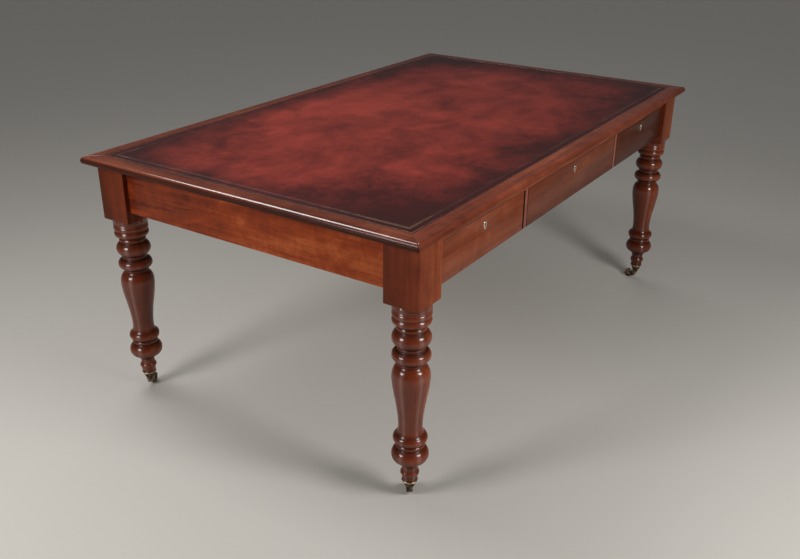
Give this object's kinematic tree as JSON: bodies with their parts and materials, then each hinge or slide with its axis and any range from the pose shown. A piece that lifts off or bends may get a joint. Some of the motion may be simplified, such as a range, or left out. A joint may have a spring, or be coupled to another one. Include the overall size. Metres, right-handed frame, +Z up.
{
  "type": "partners desk",
  "caption": "Partners writing desk with a leather-lined moulded top, turned legs on brass castors, and locking drawers that open on both long sides.",
  "frame": {"origin": "on the floor under the middle of the desk", "axes": "+Z up; X runs along the drawer sides; the front is at -Y and the left at -X"},
  "size_m": [1.84, 1.12, 0.762],
  "materials": {
    "mahogany": "French-polished mahogany, red-brown, glossy",
    "leather": "hand-dyed oxblood leather, darkened towards its edge, gilt-tooled, polished",
    "brass": "aged brass, polished on the high spots",
    "drawer_oak": "waxed oak drawer linings",
    "carcase_pine": "dry aged pine, unfinished",
    "steel": "dull steel"
  },
  "bodies": {
    "desk": {"top_board": "carcase_pine", "top_border": "mahogany", "writing_leather": "leather", "top_screws": "steel", "leg_front_left": "mahogany", "leg_back_left": "mahogany", "leg_front_right": "mahogany", "leg_back_right": "mahogany", "castor_cup_front_left": "brass", "castor_cup_back_left": "brass", "castor_cup_front_right": "brass", "castor_cup_back_right": "brass", "end_rail_left": "mahogany", "end_rail_right": "mahogany", "top_rail_front": "mahogany", "top_rail_back": "mahogany", "bottom_rail_front": "carcase_pine", "bottom_rail_back": "carcase_pine", "drawer_dividers": "mahogany", "centre_rail": "carcase_pine", "drawer_runners": "carcase_pine", "kickers": "carcase_pine"},
    "castor_front_left": {"castor_fork_front_left": "brass"},
    "wheel_front_left": {"castor_wheel_front_left": "brass"},
    "castor_back_left": {"castor_fork_back_left": "brass"},
    "wheel_back_left": {"castor_wheel_back_left": "brass"},
    "castor_front_right": {"castor_fork_front_right": "brass"},
    "wheel_front_right": {"castor_wheel_front_right": "brass"},
    "castor_back_right": {"castor_fork_back_right": "brass"},
    "wheel_back_right": {"castor_wheel_back_right": "brass"},
    "drawer_front_left": {"drawer_facing_front_left": "mahogany", "drawer_box_front_left": "drawer_oak", "drawer_bottom_front_left": "drawer_oak", "lock_front_left": "brass"},
    "bolt_front_left": {"lock_bolt_front_left": "brass"},
    "drawer_front_middle": {"drawer_facing_front_middle": "mahogany", "drawer_box_front_middle": "drawer_oak", "drawer_bottom_front_middle": "drawer_oak", "lock_front_middle": "brass"},
    "bolt_front_middle": {"lock_bolt_front_middle": "brass"},
    "drawer_front_right": {"drawer_facing_front_right": "mahogany", "drawer_box_front_right": "drawer_oak", "drawer_bottom_front_right": "drawer_oak", "lock_front_right": "brass"},
    "bolt_front_right": {"lock_bolt_front_right": "brass"},
    "drawer_back_left": {"drawer_facing_back_left": "mahogany", "drawer_box_back_left": "drawer_oak", "drawer_bottom_back_left": "drawer_oak", "lock_back_left": "brass"},
    "bolt_back_left": {"lock_bolt_back_left": "brass"},
    "drawer_back_middle": {"drawer_facing_back_middle": "mahogany", "drawer_box_back_middle": "drawer_oak", "drawer_bottom_back_middle": "drawer_oak", "lock_back_middle": "brass"},
    "bolt_back_middle": {"lock_bolt_back_middle": "brass"},
    "drawer_back_right": {"drawer_facing_back_right": "mahogany", "drawer_box_back_right": "drawer_oak", "drawer_bottom_back_right": "drawer_oak", "lock_back_right": "brass"},
    "bolt_back_right": {"lock_bolt_back_right": "brass"}
  },
  "joints": [
    {"name": "castor_swivel_front_left", "type": "hinge", "parent": "desk", "child": "castor_front_left", "pos_m": [-0.832, -0.488, 0.036], "axis": [0, 0, 1], "continuous": true},
    {"name": "wheel_roll_front_left", "type": "hinge", "parent": "castor_front_left", "child": "wheel_front_left", "pos_m": [-0.81044, -0.47346, 0.016], "axis": [-0.5592, 0.829, 0], "continuous": true},
    {"name": "castor_swivel_back_left", "type": "hinge", "parent": "desk", "child": "castor_back_left", "pos_m": [-0.832, 0.488, 0.036], "axis": [0, 0, 1], "continuous": true},
    {"name": "wheel_roll_back_left", "type": "hinge", "parent": "castor_back_left", "child": "wheel_back_left", "pos_m": [-0.80825, 0.49858, 0.016], "axis": [-0.4067, 0.9135, 0], "continuous": true},
    {"name": "castor_swivel_front_right", "type": "hinge", "parent": "desk", "child": "castor_front_right", "pos_m": [0.832, -0.488, 0.036], "axis": [0, 0, 1], "continuous": true},
    {"name": "wheel_roll_front_right", "type": "hinge", "parent": "castor_front_right", "child": "wheel_front_right", "pos_m": [0.82928, -0.46214, 0.016], "axis": [-0.9945, -0.1045, 0], "continuous": true},
    {"name": "castor_swivel_back_right", "type": "hinge", "parent": "desk", "child": "castor_back_right", "pos_m": [0.832, 0.488, 0.036], "axis": [0, 0, 1], "continuous": true},
    {"name": "wheel_roll_back_right", "type": "hinge", "parent": "castor_back_right", "child": "wheel_back_right", "pos_m": [0.80789, 0.49774, 0.016], "axis": [-0.3746, -0.9272, 0], "continuous": true},
    {"name": "drawer_slide_front_left", "type": "slide", "parent": "desk", "child": "drawer_front_left", "axis": [0, -1, 0], "range_m": [0, 0.4]},
    {"name": "lock_bolt_slide_front_left", "type": "slide", "parent": "drawer_front_left", "child": "bolt_front_left", "axis": [0, 0, 1], "range_m": [0, 0.006]},
    {"name": "drawer_slide_front_middle", "type": "slide", "parent": "desk", "child": "drawer_front_middle", "axis": [0, -1, 0], "range_m": [0, 0.4]},
    {"name": "lock_bolt_slide_front_middle", "type": "slide", "parent": "drawer_front_middle", "child": "bolt_front_middle", "axis": [0, 0, 1], "range_m": [0, 0.006]},
    {"name": "drawer_slide_front_right", "type": "slide", "parent": "desk", "child": "drawer_front_right", "axis": [0, -1, 0], "range_m": [0, 0.4]},
    {"name": "lock_bolt_slide_front_right", "type": "slide", "parent": "drawer_front_right", "child": "bolt_front_right", "axis": [0, 0, 1], "range_m": [0, 0.006]},
    {"name": "drawer_slide_back_left", "type": "slide", "parent": "desk", "child": "drawer_back_left", "axis": [0, 1, 0], "range_m": [0, 0.4]},
    {"name": "lock_bolt_slide_back_left", "type": "slide", "parent": "drawer_back_left", "child": "bolt_back_left", "axis": [0, 0, 1], "range_m": [0, 0.006]},
    {"name": "drawer_slide_back_middle", "type": "slide", "parent": "desk", "child": "drawer_back_middle", "axis": [0, 1, 0], "range_m": [0, 0.4]},
    {"name": "lock_bolt_slide_back_middle", "type": "slide", "parent": "drawer_back_middle", "child": "bolt_back_middle", "axis": [0, 0, 1], "range_m": [0, 0.006]},
    {"name": "drawer_slide_back_right", "type": "slide", "parent": "desk", "child": "drawer_back_right", "axis": [0, 1, 0], "range_m": [0, 0.4]},
    {"name": "lock_bolt_slide_back_right", "type": "slide", "parent": "drawer_back_right", "child": "bolt_back_right", "axis": [0, 0, 1], "range_m": [0, 0.006]}
  ]
}
